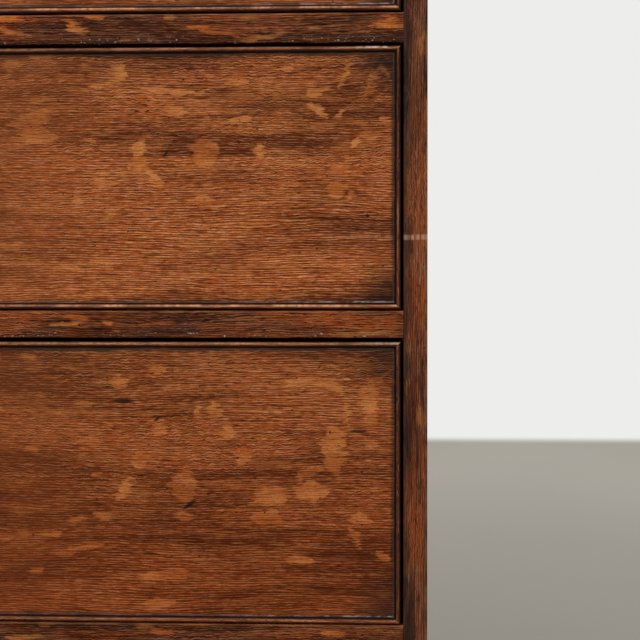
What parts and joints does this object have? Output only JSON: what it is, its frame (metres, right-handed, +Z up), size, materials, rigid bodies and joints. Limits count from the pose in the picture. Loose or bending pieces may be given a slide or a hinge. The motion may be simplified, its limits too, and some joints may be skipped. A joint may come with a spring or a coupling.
{
  "type": "chest of drawers",
  "caption": "Freestanding oak chest of long graduated drawers with cock-beaded fronts, swinging bail handles, a moulded top and bracket feet.",
  "frame": {"origin": "on the floor, under the middle of the whole chest's box", "axes": "+Z up, -Y out of the drawers' fronts, +X to the right as seen from the front"},
  "size_m": [1.156, 0.5122, 1.083],
  "materials": {
    "oak": "aged dark stain, waxed",
    "lining": "bare, aged",
    "brass": "aged, rubbed on the high spots",
    "iron": "dull, darkened"
  },
  "bodies": {
    "carcase": {"top_board": "oak", "left_side": "oak", "right_side": "oak", "top_rail": "oak", "drawer_rail_1": "oak", "drawer_rail_2": "oak", "drawer_rail_3": "oak", "bottom_rail": "oak", "base_moulding_front": "oak", "base_moulding_left": "oak", "base_moulding_right": "oak", "front_left_foot": "oak", "front_right_foot": "oak", "rear_left_foot": "oak", "rear_right_foot": "oak", "top_back_rail": "lining", "bottom_board": "lining", "back_boards": "lining", "drawer_runners": "lining", "top_kickers": "lining", "drawer_stops": "lining", "glue_blocks": "lining", "back_nails": "iron", "top_screws": "iron"},
    "drawer_1": {"drawer_1_front": "oak", "drawer_1_beads": "oak", "drawer_1_left_side": "lining", "drawer_1_right_side": "lining", "drawer_1_back": "lining", "drawer_1_bottom": "lining", "drawer_1_handle_fittings": "brass"},
    "drawer_1_left_bail": {"drawer_1_left_bail": "brass"},
    "drawer_1_right_bail": {"drawer_1_right_bail": "brass"},
    "drawer_2": {"drawer_2_front": "oak", "drawer_2_beads": "oak", "drawer_2_left_side": "lining", "drawer_2_right_side": "lining", "drawer_2_back": "lining", "drawer_2_bottom": "lining", "drawer_2_handle_fittings": "brass"},
    "drawer_2_left_bail": {"drawer_2_left_bail": "brass"},
    "drawer_2_right_bail": {"drawer_2_right_bail": "brass"},
    "drawer_3": {"drawer_3_front": "oak", "drawer_3_beads": "oak", "drawer_3_left_side": "lining", "drawer_3_right_side": "lining", "drawer_3_back": "lining", "drawer_3_bottom": "lining", "drawer_3_handle_fittings": "brass"},
    "drawer_3_left_bail": {"drawer_3_left_bail": "brass"},
    "drawer_3_right_bail": {"drawer_3_right_bail": "brass"},
    "drawer_4": {"drawer_4_front": "oak", "drawer_4_beads": "oak", "drawer_4_left_side": "lining", "drawer_4_right_side": "lining", "drawer_4_back": "lining", "drawer_4_bottom": "lining", "drawer_4_handle_fittings": "brass"},
    "drawer_4_left_bail": {"drawer_4_left_bail": "brass"},
    "drawer_4_right_bail": {"drawer_4_right_bail": "brass"}
  },
  "joints": [
    {"name": "drawer_1_slide", "type": "slide", "parent": "carcase", "child": "drawer_1", "axis": [0, -1, 0], "range_m": [0, 0.34]},
    {"name": "drawer_1_left_bail_swing", "type": "hinge", "parent": "drawer_1", "child": "drawer_1_left_bail", "pos_m": [-0.18, -0.2499, 0.9581], "axis": [-1, 0, 0], "range_deg": [-15, 110]},
    {"name": "drawer_1_right_bail_swing", "type": "hinge", "parent": "drawer_1", "child": "drawer_1_right_bail", "pos_m": [0.18, -0.2499, 0.9581], "axis": [-1, 0, 0], "range_deg": [-15, 110]},
    {"name": "drawer_2_slide", "type": "slide", "parent": "carcase", "child": "drawer_2", "axis": [0, -1, 0], "range_m": [0, 0.34]},
    {"name": "drawer_2_left_bail_swing", "type": "hinge", "parent": "drawer_2", "child": "drawer_2_left_bail", "pos_m": [-0.18, -0.2499, 0.7416], "axis": [-1, 0, 0], "range_deg": [-15, 110]},
    {"name": "drawer_2_right_bail_swing", "type": "hinge", "parent": "drawer_2", "child": "drawer_2_right_bail", "pos_m": [0.18, -0.2499, 0.7416], "axis": [-1, 0, 0], "range_deg": [-15, 110]},
    {"name": "drawer_3_slide", "type": "slide", "parent": "carcase", "child": "drawer_3", "axis": [0, -1, 0], "range_m": [0, 0.34]},
    {"name": "drawer_3_left_bail_swing", "type": "hinge", "parent": "drawer_3", "child": "drawer_3_left_bail", "pos_m": [-0.18, -0.2499, 0.5131], "axis": [-1, 0, 0], "range_deg": [-15, 110]},
    {"name": "drawer_3_right_bail_swing", "type": "hinge", "parent": "drawer_3", "child": "drawer_3_right_bail", "pos_m": [0.18, -0.2499, 0.5131], "axis": [-1, 0, 0], "range_deg": [-15, 110]},
    {"name": "drawer_4_slide", "type": "slide", "parent": "carcase", "child": "drawer_4", "axis": [0, -1, 0], "range_m": [0, 0.34]},
    {"name": "drawer_4_left_bail_swing", "type": "hinge", "parent": "drawer_4", "child": "drawer_4_left_bail", "pos_m": [-0.18, -0.2499, 0.2706], "axis": [-1, 0, 0], "range_deg": [-15, 110]},
    {"name": "drawer_4_right_bail_swing", "type": "hinge", "parent": "drawer_4", "child": "drawer_4_right_bail", "pos_m": [0.18, -0.2499, 0.2706], "axis": [-1, 0, 0], "range_deg": [-15, 110]}
  ]
}
